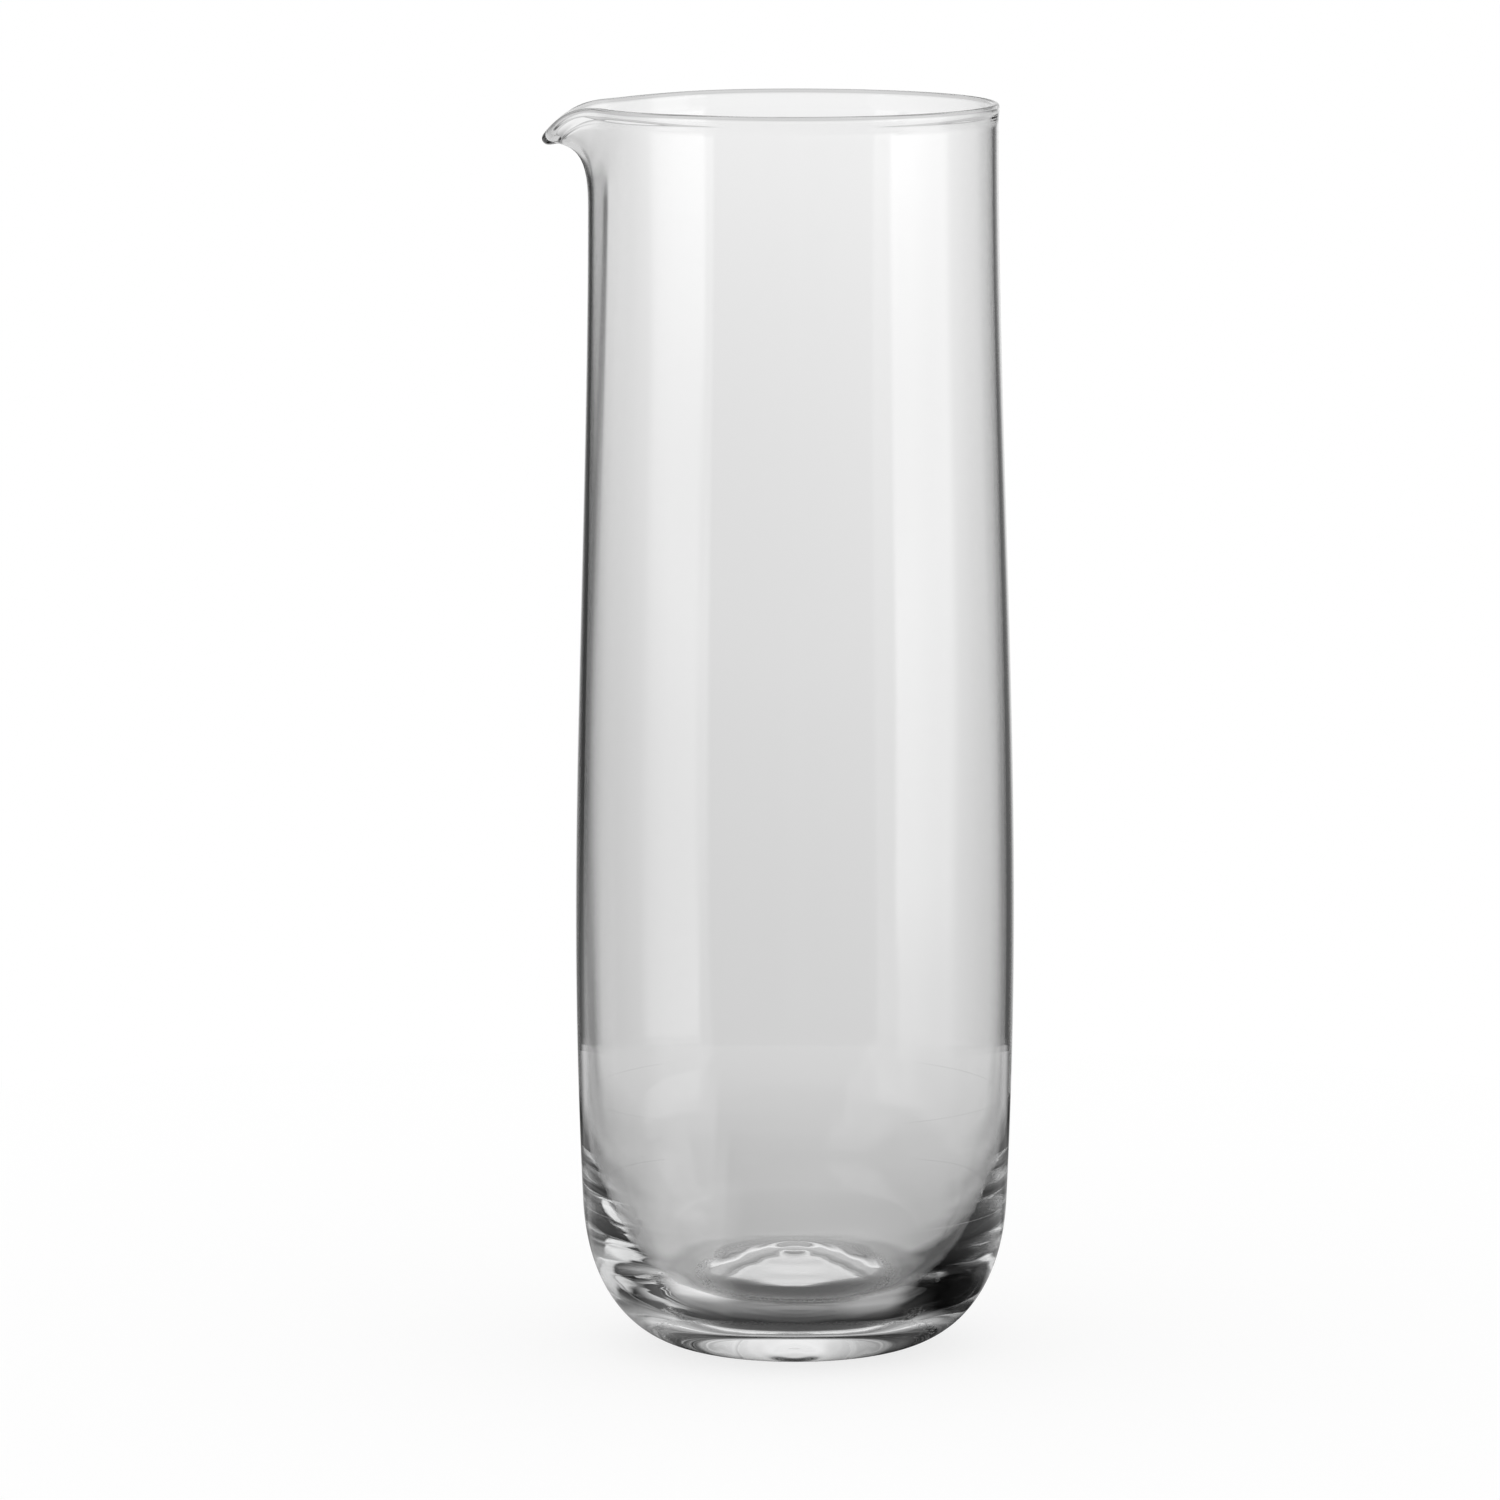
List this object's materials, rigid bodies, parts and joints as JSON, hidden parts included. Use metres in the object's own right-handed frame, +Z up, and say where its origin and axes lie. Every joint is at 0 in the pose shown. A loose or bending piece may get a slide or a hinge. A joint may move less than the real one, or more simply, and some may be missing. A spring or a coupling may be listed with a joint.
{
  "type": "water carafe",
  "caption": "Tall one-piece clear glass carafe with a heavy rounded base, thin gently bellied wall, open mouth and a pulled pouring lip on one side.",
  "frame": {"origin": "centre of the ring that the carafe stands on, on the plane of the table", "axes": "+Z up along the vessel's axis, -X towards the tip of the pouring lip, the vessel is mirrored in the XZ plane"},
  "size_m": [0.0945, 0.088, 0.25],
  "materials": {
    "clear_glass": "fire-polished clear glass with a faint grey cast"
  },
  "bodies": {
    "root": {"glass_vessel": "clear_glass"}
  },
  "joints": []
}
